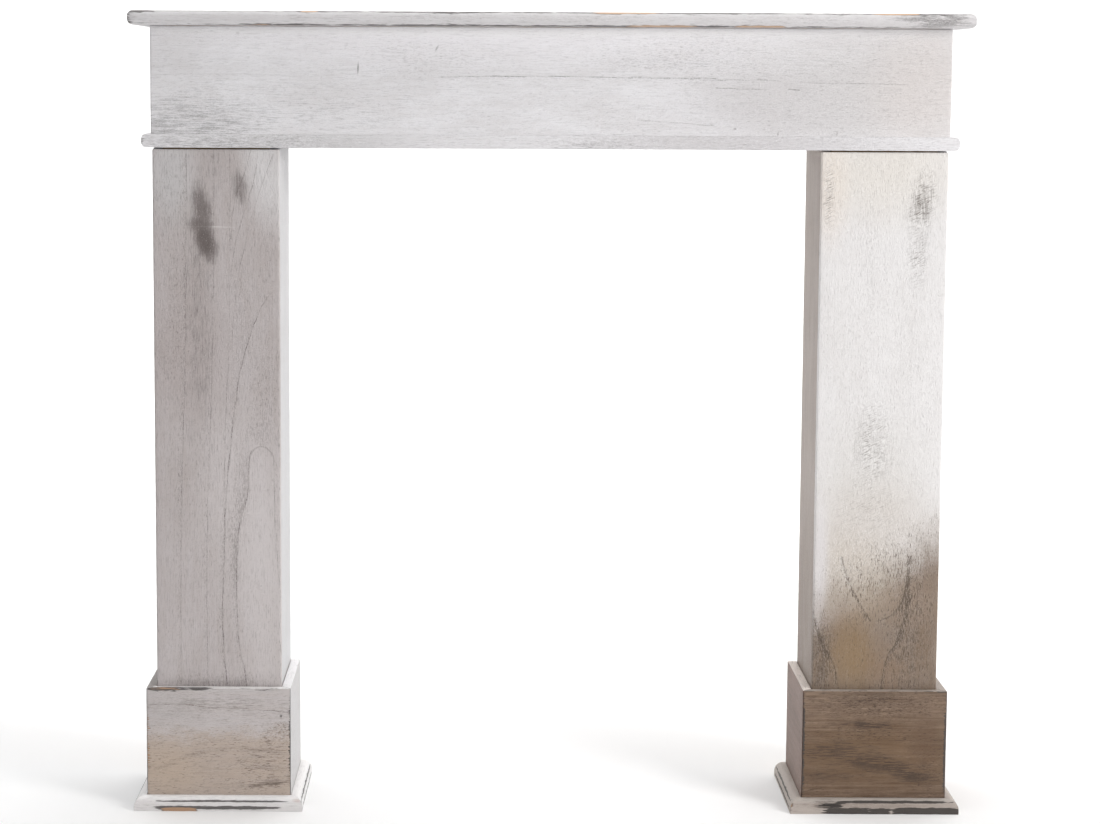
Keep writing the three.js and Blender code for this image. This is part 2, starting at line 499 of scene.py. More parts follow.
# %% Patches and arches, by an ellipse on the board
def from_ellipse(nodes, place, middle, half_sizes, turn):
    """The place as measured from an ellipse: 0 in its middle, and 1 long on its edge."""
    return nodes.add("Mapping", {"Vector": place, "Location": middle, "Rotation": (0, turn, 0),
                                 "Scale": half_sizes}, vector_type="TEXTURE")


def arch(nodes, place, waver, ellipse):
    """1 on the upper half of an ellipse: the closed end of an arched grain line."""
    local = from_ellipse(nodes, place, *ellipse)
    distance = nodes.length(nodes.scaled(local, (1, 0, 1)))
    gap = nodes.maths("ABSOLUTE", nodes.sum(distance, nodes.times(waver, 0.03), -1))
    height = nodes.add("SeparateXYZ", {0: local}, output=2)
    return nodes.times(nodes.fade(gap, 0.075, 0.02), nodes.fade(height, -0.1, 0.1))


def patch(nodes, place, ellipse):
    """1 in the middle of a soft ellipse and 0 outside. An ellipse is (middle, half sizes, turn)."""
    return nodes.fade(nodes.length(from_ellipse(nodes, place, *ellipse)), 1.4, 0.2)


def patches(nodes, place, ellipses):
    """The strongest of several patches, each with its strength, or None."""
    strongest = None
    for *ellipse, strength in ellipses:
        one = nodes.times(patch(nodes, place, ellipse), strength)
        strongest = one if strongest is None else nodes.most(strongest, one)
    return strongest


# %% The whitewash
# by the way the grain runs: which of x, y and z lie along the grain, across it and into the board
ORDERS = {"X": (0, 2, 1), "Y": (1, 2, 0), "Z": (2, 0, 1), "Z side": (2, 1, 0)}
GREY_STAIN = (88, 83, 82)
WORN_GREY = (66, 62, 60)
BARE_WOOD = (176, 134, 96)
STAIN_EDGE = 1.6  # how ragged the streaks make the edge of a stain


def by_grain(nodes, grain):
    """The place in Object coordinates, and in mm: along the grain, across it, and all three at once."""
    place = nodes.add("TexCoord", output="Object")
    split = nodes.add("SeparateXYZ", {0: nodes.scaled(place, (1000, 1000, 1000))}).node
    along, across, depth = (split.outputs[axis] for axis in ORDERS[grain])
    return place, along, across, nodes.add("CombineXYZ", {0: along, 1: across, 2: depth})


def whitewash(name, grain, seed, paint, wood, board=None, cover=0.9, streaks=0.2, clouds=0.12, wisps=0.3,
              pores=0.6, figure=None, lines=(), arches=(), stains=(), speckles=(), brown=None, tints=(),
              painted_top_light_and_shade=None, worn_colour=WORN_GREY, bare_colour=BARE_WOOD, stain_colour=GREY_STAIN,
              ragged=1.0, hatches=(), hatch_turn=0.0, stain_length=1.0, fray=1.0):
    """A wash over wood, with marks that are seen on the front of the board.

    grain names the direction of the grain. cover is how much of the wood the wash hides. figure is
    (pith, depth of the pith, lean, apex, rings, strength): the rings are centred on the pith, so far
    across the board and behind its face, which leans away from it along the grain from the apex.
    brown is (slope, start, end, loss): the colour runs from the wash to the wood from one place on the
    slope to another; on the right leg this brown is painted shade. The colour given for the faces that
    look up is painted light on most boards and painted shade on a few.

    Colours are as shown on a display, 0 to 255. The marks are in the photograph's pixels: a line is
    (width in mm, strength, side of its pores, places...), and the others are ellipses, each with its
    strength. A tint ends with its colour."""
    paint, wood, worn_colour, bare_colour, stain_colour = (
        shown(*colour) for colour in (paint, wood, worn_colour, bare_colour, stain_colour))
    lines = [drawn(board, *row) for row in lines]
    arches, stains, speckles, hatches, tints = (
        [spot(board, *row) for row in rows] for rows in (arches, stains, speckles, hatches, tints))
    material = bpy.data.materials.new(name)
    nodes = Nodes(material)
    material["grain"] = grain
    place, along, across, fibre = by_grain(nodes, grain)
    seed_shift = (seed * 370, seed * 110, seed * 230)
    fibre = nodes.add("VectorMath", {0: fibre, 1: seed_shift}, operation="ADD")

    # noises that several of the marks share
    streak = nodes.swing(fibre, (110, 3.2, 3.2), detail=3, roughness=0.65)
    cloud = nodes.swing(fibre, (110, 45, 45), detail=1)
    blotch = nodes.swing(fibre, (26, 13, 13), detail=3, roughness=0.65)
    wisp = nodes.noise(fibre, (16, 1.3, 1.3), detail=2, roughness=0.65)
    dashes = nodes.noise(fibre, (6.5, 0.75, 0.75), detail=1.0)
    speck = nodes.noise(fibre, (2.0, 0.85, 0.85), detail=1.0)
    waver = nodes.times(nodes.swing(fibre, (22, 9, 12), detail=1), 2.5)

    # how thick the wash lies, and how much the wood can show through it
    thickness = nodes.sum(nodes.times(streak, streaks), nodes.times(cloud, clouds),
                          nodes.times(blotch, clouds), cover)
    # the wash thins to the wood along a slope: on the right leg this brown is painted shade
    if brown:
        slope, start, end, loss = brown
        down = nodes.add("VectorMath", {0: place, 1: slope}, output=1, operation="DOT_PRODUCT")
        border = nodes.sum(down, nodes.times(blotch, 0.05), nodes.times(speck, 0.03))
        thickness = nodes.sum(thickness, nodes.fade(border, start + 0.015, end + 0.015, 0.0, -loss))
    visible = nodes.fade(thickness, 1.0, 0.6, 0.2, 1.0)

    # the year rings and the drawn grain lines
    pith, pith_depth, lean, apex, rings, strength = figure or (-70, 25, 0.03, 0, growth(seed), 0.3)
    bend = nodes.times(nodes.swing(fibre, (170, 45, 60), detail=0), 16)
    sideways = nodes.maths("SUBTRACT", across, pith)
    inwards = nodes.sum(nodes.times(nodes.maths("SUBTRACT", along, apex), lean), pith_depth)
    radius = nodes.maths("SQRT", nodes.sum(nodes.times(sideways, sideways),
                                           nodes.times(inwards, inwards)))
    ring = nodes.times(ring_profile(nodes, nodes.sum(radius, bend, waver), rings), strength)
    ring_line = nodes.fade(ring, 0.2 * strength, 0.8 * strength, 0.0, 0.8 * strength)
    unevenness = nodes.fade(blotch, -0.12, 0.12, 0.3, 1.0)
    for points, width, line_strength, side in lines:
        on_line, zone = grain_line(nodes, along, across, waver, points, width, side)
        darkness = nodes.times(unevenness, line_strength)
        ring_line = nodes.most(ring_line, nodes.times(on_line, darkness))
        if zone is not None:
            ring = nodes.most(ring, nodes.times(zone, line_strength))
    for *ellipse, share in arches:
        ring_line = nodes.most(ring_line, nodes.times(arch(nodes, place, waver, ellipse), share))

    # open pores: short dashes along the grain, thickest beside the rings and in the rubbed patches
    openness = nodes.sum(nodes.times(ring, 0.13), nodes.times(blotch, 0.16))
    rubbed = patches(nodes, place, speckles)
    if rubbed is not None:
        openness = nodes.sum(openness, nodes.times(rubbed, 0.13))
    pore = nodes.times(nodes.fade(nodes.sum(dashes, openness), 0.63, 0.76), pores)
    spots = nodes.times(nodes.fade(nodes.sum(speck, openness), 0.68, 0.80), pores * 0.8)
    lumps = nodes.fade(nodes.sum(speck, nodes.times(openness, -1)), 0.40, 0.28)
    broken_line = nodes.times(ring_line, nodes.fade(speck, 0.3, 0.62, 0.25, 1.0))
    marks = nodes.times(nodes.most(pore, spots), visible)
    marks = nodes.most(marks, broken_line)
    crossed = patches(nodes, place, hatches)
    if crossed is not None:
        turned = nodes.add("Mapping", {"Vector": fibre, "Rotation": (0, 0, math.radians(hatch_turn))})
        hatch = nodes.fade(nodes.noise(turned, (0.9, 7, 5), detail=1), 0.5, 0.72)
        marks = nodes.most(marks, nodes.times(hatch, crossed))
    faint = nodes.times(nodes.fade(nodes.sum(wisp, nodes.times(blotch, 0.25)), 0.5, 0.72), wisps)

    # the colours, from the wash down to the stains
    colour = nodes.mixed(nodes.maths("ADD", thickness, 0.0, clamp=True), wood, paint)
    for *ellipse, share, tint in tints:
        colour = nodes.mixed(nodes.times(patch(nodes, place, ellipse), share), colour, shown(*tint))
    # painted light and painted shade: the faces that look up take the given colour
    if painted_top_light_and_shade:
        turned = nodes.add("SeparateXYZ", {0: nodes.add("NewGeometry", output="Normal")}, output=2)
        colour = nodes.mixed(nodes.fade(turned, 0.55, 0.9, 0.0, 0.85), colour, shown(*painted_top_light_and_shade))
    colour = nodes.mixed(nodes.times(faint, 0.5), colour, stain_colour)
    stained = patches(nodes, place, stains)
    if stained is not None:
        edge = STAIN_EDGE * fray
        frayed = nodes.sum(stained, nodes.times(streak, edge * stain_length),
                           nodes.times(nodes.maths("SUBTRACT", wisp, 0.5), edge * 1.5),
                           nodes.times(blotch, edge))
        share = nodes.times(nodes.fade(frayed, 0.05, 0.75), stained)
        colour = nodes.mixed(share, colour, stain_colour)
    lumpy = nodes.times(lumps, nodes.fade(thickness, 0.4, 1.0, 0.05, 0.3))
    colour = nodes.mixed(lumpy, colour, [min(1.0, 1.12 * c) for c in paint])
    colour = nodes.mixed(marks, colour, stain_colour)

    # the arrises, rubbed through to grey and then to bare wood
    worn = nodes.add("Attribute", output="Fac", attribute_name="worn")
    bare = nodes.add("Attribute", output="Fac", attribute_name="bare")
    chipped = nodes.times(nodes.swing(fibre, (16, 1.6, 1.6), detail=2, roughness=0.6), 1.5 * ragged)
    rub = nodes.fade(nodes.sum(worn, chipped), 0.4, 0.62)
    under = nodes.mixed(nodes.fade(nodes.sum(bare, nodes.times(chipped, 0.7)), 0.4, 0.7), worn_colour,
                        bare_colour)
    colour = nodes.mixed(nodes.times(rub, 0.88), colour, under)

    height = nodes.sum(nodes.fade(dashes, 0.6, 0.74, 0.0, -0.7), nodes.fade(speck, 0.4, 0.7, 0.2, -0.4),
                       nodes.times(wisp, 0.4))
    relief = nodes.add("Bump", {"Height": height, "Strength": 0.7, "Distance": 0.0006})
    gloss = nodes.sum(nodes.times(marks, 0.15), nodes.times(streak, 0.15), 0.6)
    nodes.join("Principled BSDF", {"Base Color": colour, "Roughness": gloss, "Normal": relief})
    return material


# %% Raw wood, where the wash never came
RAW_LIGHT, RAW_DARK = shown(206, 178, 140), shown(160, 122, 84)
raw_woods = {}


def raw_wood(grain):
    """Plain sawn board: light tan, darker late wood and faint marks across from the saw."""
    if grain in raw_woods:
        return raw_woods[grain]
    material = bpy.data.materials.new("raw_wood_" + grain.replace(" ", "_").lower())
    nodes = Nodes(material)
    *_, fibre = by_grain(nodes, grain)
    late = nodes.fade(nodes.noise(fibre, (420, 9, 14), detail=3, roughness=0.55), 0.42, 0.66)
    fine = nodes.noise(fibre, (16, 0.7, 0.7), detail=2)
    saw = nodes.noise(fibre, (2.2, 70, 70), detail=1)
    colour = nodes.mixed(nodes.times(late, 0.75), RAW_LIGHT, RAW_DARK)
    colour = nodes.mixed(nodes.fade(fine, 0.52, 0.75, 0.0, 0.45), colour, RAW_DARK)
    height = nodes.sum(nodes.times(fine, 0.4), nodes.times(saw, 0.6))
    relief = nodes.add("Bump", {"Height": height, "Strength": 0.5, "Distance": 0.0005})
    gloss = nodes.sum(nodes.times(late, -0.08), 0.78)
    nodes.join("Principled BSDF", {"Base Color": colour, "Roughness": gloss, "Normal": relief})
    raw_woods[grain] = material
    return material


# %% [markdown]
# ## Where things are seen
#
# The stains, worn stretches and bare patches of this piece are its own, so each is placed where the
# photograph shows it. The places are named by pixels and laid on the board's face through the camera.


# %% Spots, grain lines and stretches from the photograph
def spot(node, column, row, half_width, half_height, turn=0.0, *rest):
    """An ellipse on a board's front, from its middle and half sizes in pixels."""
    middle = seen_at(column, row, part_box(node)[0][1])
    pixel = (middle - camera_place).length / FOCAL_LENGTH
    return (middle, (half_width * pixel, 1.0, half_height * pixel), math.radians(turn), *rest)


def drawn(node, width, strength, side, *pixels):
    """A grain line on a board's front through pixels. side is where its open pores lie: -1, 0 or 1."""
    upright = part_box(node)[1][2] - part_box(node)[0][2] > 0.5
    points = [seen_at(column, row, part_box(node)[0][1]) / MM for column, row in pixels]
    return ([(p.z, p.x) if upright else (p.x, p.z) for p in points], width, strength, side)


EDGE_REACH = 8 * MM  # half the depth of a worn stretch, before and behind the board's front
CORNER_REACH = 4 * MM  # the same for an upright corner
PAST_ENDS = 10 * MM  # how far a worn line runs past the ends of its moulding


def stretch(node, first_column, last_column, row, low_height, high_height, worn, bare=0.0):
    """A worn length of an edge that runs from side to side, between two heights over the board's foot."""
    low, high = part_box(node)
    first = seen_at(first_column, row, low[1]).x
    last = seen_at(last_column, row, low[1]).x
    return ((first, low[1] - EDGE_REACH, low[2] + low_height * MM),
            (last, low[1] + EDGE_REACH, low[2] + high_height * MM), worn, bare)


def stretches_on(node, *rows):
    return [stretch(node, *row) for row in rows]


def upright_stretch(node, first_row, last_row, column, worn, bare=0.0):
    """A worn length of an upright front corner."""
    low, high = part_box(node)
    head = seen_at(column, first_row, low[1])
    foot = seen_at(column, last_row, low[1])
    return ((head.x - CORNER_REACH, low[1] - CORNER_REACH, foot.z),
            (head.x + CORNER_REACH, low[1] + CORNER_REACH, head.z), worn, bare)


def side_stretch(node, low_height, high_height, worn):
    """A worn line along the outer face of a side length of moulding."""
    low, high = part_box(node)
    outer = low[0] if looks_left(node) else high[0]
    return ((outer - EDGE_REACH, low[1] - PAST_ENDS, low[2] + low_height * MM),
            (outer + EDGE_REACH, high[1] + PAST_ENDS, low[2] + high_height * MM), worn, 0.0)


def looks_left(node):
    """True for a board whose washed face looks to the left."""
    if node.startswith("frieze"):
        return node == "frieze_left_return"
    return node.endswith("outer_side") == node.startswith("left")


def inward_of(node):
    """The way into the piece from a side board. A front board has none."""
    return None if node.endswith("face") else Vector((1 if looks_left(node) else -1, 0, 0))


BOX_LEFT, BOX_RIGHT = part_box("frieze_left_return")[1][0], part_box("frieze_right_return")[0][0]
BOX_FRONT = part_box("frieze_face")[1][1]


def in_frieze_box(face):
    """True for a face inside the box behind the frieze."""
    middle = face.calc_center_median()
    return BOX_LEFT < middle.x < BOX_RIGHT and middle.y > BOX_FRONT


# %% [markdown]
# ## The top: shelf, necking board and frieze
#
# The shelf and the necking board are bullnosed: their ends are rounded over above and below. The
# rounding is one bevel of the edges, and the corners mitre by themselves.

# %% Colours of this piece
WHITE = (240, 239, 242)
SIDE_WHITE = (204, 204, 206)
GREY_WHITE = (198, 191, 191)
BROWN = (128, 108, 90)
print("white in nodes:", [round(v, 3) for v in shown(*WHITE)])

# %% The shelf
SHELF_ROUND = 7 * MM
BULLNOSED_STEP = 8 * MM  # longer than a rounding, so the first cut lies just past it


def make_shelf():
    low, high = (Vector(c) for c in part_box("shelf"))
    bm = stretched_cube(low, high)
    cut_into_steps(bm, low, high, BULLNOSED_STEP)
    level = arrises(bm, lambda m: min(m.z - low.z, high.z - m.z) < TOUCHING and high.y - m.y > TOUCHING)
    round_over(bm, level, SHELF_ROUND, 6)
    top, foot = (15.5, 20.5), (-2.5, 2.6)
    rubbed = stretches_on("shelf", (298, 320, 11, *top, 1.0, 1), (584, 669, 12, *top, 1.0, 1),
                          (868, 927, 14, *top, 1.0, 1), (246, 274, 23, *foot, 1.0, 0.6),
                          (280, 316, 23, *foot, 0.9), (620, 704, 26, *foot, 1.0, 1),
                          (729, 794, 27, *foot, 1.0, 1), (905, 965, 20, 12, 20, 0.55),
                          (116, 134, 16, -4, 22, 0.55), (116, 160, 13, 14, 21, 0.8),
                          # (150, 990) and (112, 994) run along the whole upper and lower front arrises:
                          # grey wear, and on the lower one painted shade as well, under the overhang
                          (116, 131, 16, -4, 5, 0.9), (150, 990, 13, 15.8, 20.5, 0.78),
                          (112, 994, 13, -2.5, 2.4, 0.82))
    wear_down(bm, low, high, 3, 0.9, rubbed)

    finish = whitewash(
        "shelf_wash", "X", 3, (223, 221, 223), BROWN, "shelf", cover=0.94, pores=0.8, wisps=0.4,
        bare_colour=(196, 160, 128), worn_colour=(84, 80, 78), ragged=0.7,
        speckles=[(935, 20, 40, 8, 0, 1.0), (600, 18, 80, 6, 0, 0.6), (440, 17, 60, 5, 0, 0.5),
                  (800, 20, 60, 6, 0, 0.5)],
        # the faces that look up are painted a darker grey
        stains=[(936, 20, 44, 11, 0, 0.6), (127, 17, 9, 12, 0, 0.35)], painted_top_light_and_shade=(186, 183, 182))
    return finish_piece("shelf", bm, finish,
                        inside=lambda face: face.normal.z < -0.9 and in_frieze_box(face))


shelf = make_shelf()
print("shelf:", len(shelf.data.polygons), "faces")

# %% The necking board
NECKING_ROUND = 6 * MM
NECKING_EASE = 1 * MM
NECKING_PROUD = 0.2 * MM  # how far its front really stands before the frieze


def make_necking_board():
    low, high = (Vector(c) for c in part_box("necking_board"))
    low.y = frieze_front - NECKING_PROUD
    high.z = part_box("frieze_face")[0][2]
    bm = stretched_cube(low, high)
    cut_into_steps(bm, low, high, BULLNOSED_STEP)
    ends = arrises(bm, lambda m: min(m.x - low.x, high.x - m.x) < TOUCHING
                   and min(m.z - low.z, high.z - m.z) < TOUCHING)
    round_over(bm, ends, NECKING_ROUND, 6)
    front = arrises(bm, lambda m: m.y - low.y < TOUCHING and m.z - low.z < TOUCHING
                    and low.x + NECKING_ROUND < m.x < high.x - NECKING_ROUND)
    round_over(bm, front, NECKING_EASE, 2)
    wear_down(bm, low, high, 11, 0.15, stretches_on("necking_board", (137, 148, 141, -3, 20, 0.55)))
    finish = whitewash(
        "necking_wash", "X", 11, WHITE, BROWN, "necking_board", cover=0.93, pores=0.6, wisps=0.45,
        speckles=[(240, 141, 110, 12, 0, 0.9), (600, 143, 90, 9, 0, 0.7)],
        stains=[(215, 142, 110, 14, 0, 0.32), (590, 146, 50, 6, 0, 0.3)],
        tints=[(740, 143, 160, 20, 0, 0.85, (213, 210, 212)),
               (310, 143, 110, 20, 0, 0.55, (206, 204, 205))])
    return finish_piece("necking_board", bm, finish,
                        inside=lambda face: face.normal.z > 0.9 and in_frieze_box(face))


necking_board = make_necking_board()
print("necking board:", len(necking_board.data.polygons), "faces")


# %% A plain board, eased all round
def make_board(node, finish, seed, wear, sharp_foot=False):
    low, high = (Vector(c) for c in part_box(node))
    bm = stretched_cube(low, high)
    cut_into_steps(bm, low, high)
    round_over(bm, arrises(bm, lambda m: not sharp_foot or m.z - low.z > TOUCHING), EASED, 3)
    support_flats(bm, lambda face: not sharp_foot or face.normal.z > -0.9)
    if sharp_foot:
        low = low - Vector((0, 0, 3 * WEAR_REACH))  # its foot is joined, so it has no arris there
    wear_down(bm, low, high, seed, wear)
    return finish_piece(node, bm, finish, inward_of(node))


# %% The frieze
frieze = "frieze_face"
frieze_wash = whitewash(
    "frieze_wash", "X", 5, WHITE, BROWN, frieze, cover=0.93, pores=0.7, streaks=0.14, clouds=0.24,
    wisps=0.26, stain_length=0.4,
    figure=(860, 20, 0.012, -100, [(22, 0.3), (43, 0.35), (90, 0.25), (113, 0.3)], 0.25),
    lines=[(1.0, 0.75, -1, (437, 77), (560, 76.5), (640, 78), (700, 78), (720, 79.5)),
           (1.6, 0.7, 0, (630, 77.2), (665, 78), (690, 78.2), (712, 79)),
           (0.9, 0.7, 0, (700, 80.5), (745, 80), (782, 82)),
           (0.8, 0.55, 0, (800, 82.5), (850, 83.5), (907, 84.5)),
           (0.8, 0.6, 0, (715, 88), (745, 89), (770, 89.5)), (0.9, 0.7, 0, (788, 89.5), (800, 90)),
           (0.7, 0.24, 0, (150, 75), (210, 74), (300, 77)),
           (0.8, 0.5, 0, (640, 120), (690, 124), (715, 126))],
    speckles=[(205, 118, 80, 36, 0, 0.9), (700, 60, 150, 22, 0, 0.75), (420, 60, 90, 20, 0, 0.5),
              (360, 115, 130, 18, 0, 0.4)], fray=0.8,
    stains=[(180, 130, 105, 40, 0, 0.46), (700, 62, 130, 14, 0, 0.15), (590, 140, 90, 10, 0, 0.25),
            (280, 112, 170, 30, 0, 0.18)],
    tints=[(358, 68, 0.8, 6, 2, 0.8, GREY_STAIN), (437, 48, 1, 3.5, 30, 0.8, GREY_STAIN),
           (778, 134, 1, 2.5, 10, 0.8, GREY_STAIN), (837, 134, 1, 2.5, 10, 0.8, GREY_STAIN),
           (238, 33, 2, 1.5, 0, 0.35, GREY_STAIN), (735, 129, 1.6, 1, 0, 0.8, GREY_STAIN),
           # (500, 45) and (545, 29) are painted light: they lighten the band just under the shelf,
           # against the shadow that the shelf casts there
           (500, 45, 260, 26, 0, 0.45, (253, 251, 255)), (800, 104, 130, 40, 0, 0.8, (213, 210, 212)),
           (930, 80, 200, 80, 0, 0.75, (216, 213, 213)), (925, 90, 60, 70, 0, 0.3, (226, 214, 208)),
           (545, 29, 460, 9, 0, 0.8, (255, 254, 255))])
make_board(frieze, frieze_wash, 5, 0.12, sharp_foot=True)
for side, seed in (("left", 6), ("right", 7)):
    node = f"frieze_{side}_return"
    make_board(node, whitewash(f"{node}_wash", "Y", seed, WHITE, BROWN), seed, 0.4)
print("frieze made")

# %% [markdown]
# ## The legs
#
# Each leg is a box of three boards. The grain of both faces is drawn where the photograph shows it.
# The left face has a tall arch. On the right face the arches point down, and from a slanting border
# down to the floor it is painted brown: painted shade, where a shadow falls on the leg.

# %% The left leg
left_face = "left_leg_face"
left_leg_wash = whitewash(
    "left_leg_wash", "Z", 21, GREY_WHITE, BROWN, left_face, cover=0.9, pores=1.0, streaks=0.3, wisps=0.5,
    clouds=0.34, figure=(-300, 30, 0.03, 400, [(20, 0.4), (150, 0.4)], 0.2),
    lines=[(0.9, 0.7, -1, (186, 149), (185.5, 340), (183, 440), (181, 600), (181.5, 690)),
           (0.8, 0.55, -1, (214, 149), (212.5, 340), (210, 440), (207, 560), (208, 690)),
           (0.8, 0.5, 0, (230, 149), (229.5, 250), (229, 340), (226, 410), (224, 500)),
           (0.8, 0.6, 0, (251, 149), (243, 178), (234, 203), (231, 240)),
           (0.8, 0.55, 0, (258, 149), (255, 173), (247, 203), (237, 237), (231, 275)),
           (0.8, 0.5, 0, (274, 152), (257, 200), (247, 237), (237, 285), (232, 345)),
           (1.1, 0.85, -1, (278, 289), (268, 297), (257, 317), (250, 337), (240, 373), (232, 433),
            (226, 500), (224, 560), (222.5, 620), (224, 650), (228, 690)),
           (1.2, 0.9, -1, (258, 447.5), (251, 453), (248.5, 470), (248, 490), (242, 515), (237.5, 545),
            (237, 600), (239, 640), (245, 672), (247, 690)),
           (0.9, 0.6, 1, (273.5, 462), (274.5, 490), (275, 520), (278, 565), (281, 600))],
    arches=[(261.5, 463, 12.5, 16.5, 0, 0.35)],
    stains=[(202, 210, 13, 36, -8, 0.75), (205, 240, 14, 30, -14, 0.9), (201, 225, 16, 14, 0, 0.8),
            (240, 188, 10, 26, -12, 0.6), (210, 168, 24, 40, 0, 0.3), (219, 684, 66, 7, 0, 0.45),
            (200, 310, 20, 190, 0, 0.36), (170, 200, 26, 90, 0, 0.2)], stain_colour=(92, 82, 79),
    fray=0.5,
    speckles=[(241, 485, 9, 50, 4, 1.2), (262, 434, 20, 16, 0, 1.1), (234, 560, 7, 60, 0, 0.9),
              (240, 320, 14, 60, -8, 0.8), (219, 681, 60, 9, 0, 1.0), (262, 400, 20, 60, 0, 0.5),
              (170, 300, 22, 160, 0, 0.45)],
    tints=[(210.5, 226.7, 24, 0.6, 1, 0.7, (228, 224, 222)), (261, 586, 1.2, 1, 0, 0.8, GREY_STAIN),
           (266, 600, 26, 150, 0, 0.55, (218, 212, 212)), (266, 170, 24, 60, -10, 0.6, (230, 229, 230)),
           (170, 175, 26, 50, 0, 0.5, (214, 215, 217)), (190, 350, 50, 80, 0, 0.5, (178, 167, 165)),
           (236, 500, 46, 110, 0, 0.4, (220, 214, 214))])
make_board(left_face, left_leg_wash, 21, 0.35)
for board, seed in (("inner", 22), ("outer", 23)):
    node = f"left_leg_{board}_side"
    finish = whitewash(f"{node}_wash", "Z side", seed, SIDE_WHITE, BROWN, cover=0.96, wisps=0.25)
    make_board(node, finish, seed, 0.3)
print("left leg made")

# %% The right leg
right_face = "right_leg_face"
# painted shade: below a slanting border across the right leg the wash gives way to brown wood, for the
# shadow that falls there
shade_border_from = seen_at(886, 522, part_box(right_face)[0][1])
shade_border_to = seen_at(886, 608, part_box(right_face)[0][1])
SHADE_BORDER_SLOPE = Vector((0.6, 0, -1)).normalized()
right_leg_wash_and_shade = whitewash(
    "right_leg_wash_and_shade", "Z", 31, (234, 232, 232), (114, 90, 65), right_face, cover=0.98, pores=0.85,
    streaks=0.12, clouds=0.14, wisps=0.16, hatch_turn=24,
    hatches=[(922, 206, 13, 34, 8, 0.8), (918, 256, 10, 34, 0, 0.6), (866, 508, 34, 34, 0, 0.28),
             (872, 445, 18, 44, 0, 0.6), (829, 196, 6, 38, 0, 0.6)],
    figure=(300, 30, 0.03, 400, [(20, 0.4), (150, 0.4)], 0.2),
    lines=[(1.9, 0.85, -1, (842, 556), (844, 567), (851, 586), (860, 603), (871, 622)),
           (1.9, 0.85, 1, (871, 622), (886, 618), (894, 612), (902, 601), (906, 585), (908, 555)),
           (1.4, 0.95, -1, (808, 590), (815, 617), (823, 643), (833, 663), (839, 692)),
           (1.4, 0.95, 1, (880, 692), (886, 660), (896, 642), (903, 620), (908, 593)),
           (1.2, 0.6, 0, (916, 545), (917, 600), (913, 640), (908, 690))],
    brown=(SHADE_BORDER_SLOPE, shade_border_from.dot(SHADE_BORDER_SLOPE), shade_border_to.dot(SHADE_BORDER_SLOPE), 0.86),
    stain_colour=(80, 68, 57),
    stains=[(922, 203, 15, 26, 12, 0.5), (918, 240, 12, 26, -10, 0.22), (906, 640, 14, 60, 0, 0.2),
            (820, 662, 12, 34, 0, 0.4)],
    speckles=[(922, 206, 18, 36, 0, 1.0), (918, 256, 12, 36, 0, 1.0), (829, 196, 9, 44, 0, 1.0),
              (872, 445, 24, 46, 0, 1.1), (868, 280, 10, 90, 0, 0.55), (866, 560, 50, 60, 0, 0.5),
              (822, 655, 14, 40, 0, 0.9), (908, 620, 24, 90, 0, 0.7)],
    # the greyer and browner tints from row 520 down deepen the painted shade
    tints=[(828, 185, 22, 60, 0, 0.4, (240, 222, 206)), (880, 165, 90, 60, 0, 0.5, (228, 221, 210)),
           (870, 468, 64, 56, 0, 0.5, (219, 216, 212)), (870, 525, 70, 50, 0, 0.6, (208, 200, 192)),
           (845, 606, 36, 24, 0, 0.35, (146, 122, 98)), (850, 575, 60, 44, 30, 0.5, (188, 174, 156)),
           (832, 598, 26, 22, 0, 0.4, (166, 154, 144)), (914, 603, 28, 24, 0, 0.5, (152, 134, 119)),
           (820, 560, 9, 60, 0, 0.45, (232, 230, 236)), (852, 655, 26, 40, 0, 0.62, (144, 117, 80)),
           (886, 670, 22, 26, 0, 0.35, (136, 106, 76))])
make_board(right_face, right_leg_wash_and_shade, 31, 0.25)
node = "right_leg_inner_side"
# painted shade: the inner side looks away from the key, so it is painted darker, and browner toward the
# floor
finish = whitewash(f"{node}_wash", "Z side", 32, (184, 173, 166), (118, 98, 82),
                   cover=0.85, streaks=0.9, clouds=0.4, wisps=0.4,
                   brown=(Vector((0, 0, -1)), -0.42, -0.15, 0.46))
make_board(node, finish, 32, 0.3)
node = "right_leg_outer_side"
# painted shade: the outer side browns below the same border as the face
finish = whitewash(f"{node}_wash", "Z side", 33, (226, 224, 224), (114, 92, 70),
                   cover=0.94, streaks=0.4, clouds=0.3, wisps=0.3, stain_colour=(80, 66, 54),
                   brown=(Vector((0, 0, -1)), -shade_border_from.z, -shade_border_to.z + 0.03, 0.8))
make_board(node, finish, 33, 0.3)
print("right leg made")

# %% [markdown]
# ## Blocks inside the legs
#
# A hollow leg is held under the necking board by a block that is glued between its sides. It can
# only be seen from behind, and as the dark line of the narrow joint above each leg. It is one
# bevelled cube, and its ends stop at the three boards.

# %% The glued blocks
BLOCK_DEPTH, BLOCK_HEIGHT = 38 * MM, 60 * MM
BLOCK_EASED = 0.6 * MM
GLUE = 0.3 * MM  # between a block and the boards round it
BLOCK_BELOW = 0.1 * MM  # how far its top is under the necking board
for leg in ("left", "right"):
    face_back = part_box(f"{leg}_leg_face")[1][1]
    sides = [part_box(f"{leg}_leg_{board}_side") for board in ("inner", "outer")]
    first = min(high[0] for low, high in sides) + GLUE
    last = max(low[0] for low, high in sides) - GLUE
    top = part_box("necking_board")[0][2] - BLOCK_BELOW
    bm = stretched_cube(Vector((first, face_back + GLUE, top - BLOCK_HEIGHT)),
                        Vector((last, face_back + BLOCK_DEPTH, top)))
    round_over(bm, arrises(bm), BLOCK_EASED, 2)
    for face in bm.faces:
        face.smooth = face.calc_area() < BLOCK_HEIGHT * 2 * MM  # the eased edges, and no flat side
    block = add_object(f"{leg}_leg_block", bm)
    block.data.materials.append(raw_wood("X"))
    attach(block, "root")
print("blocks made")

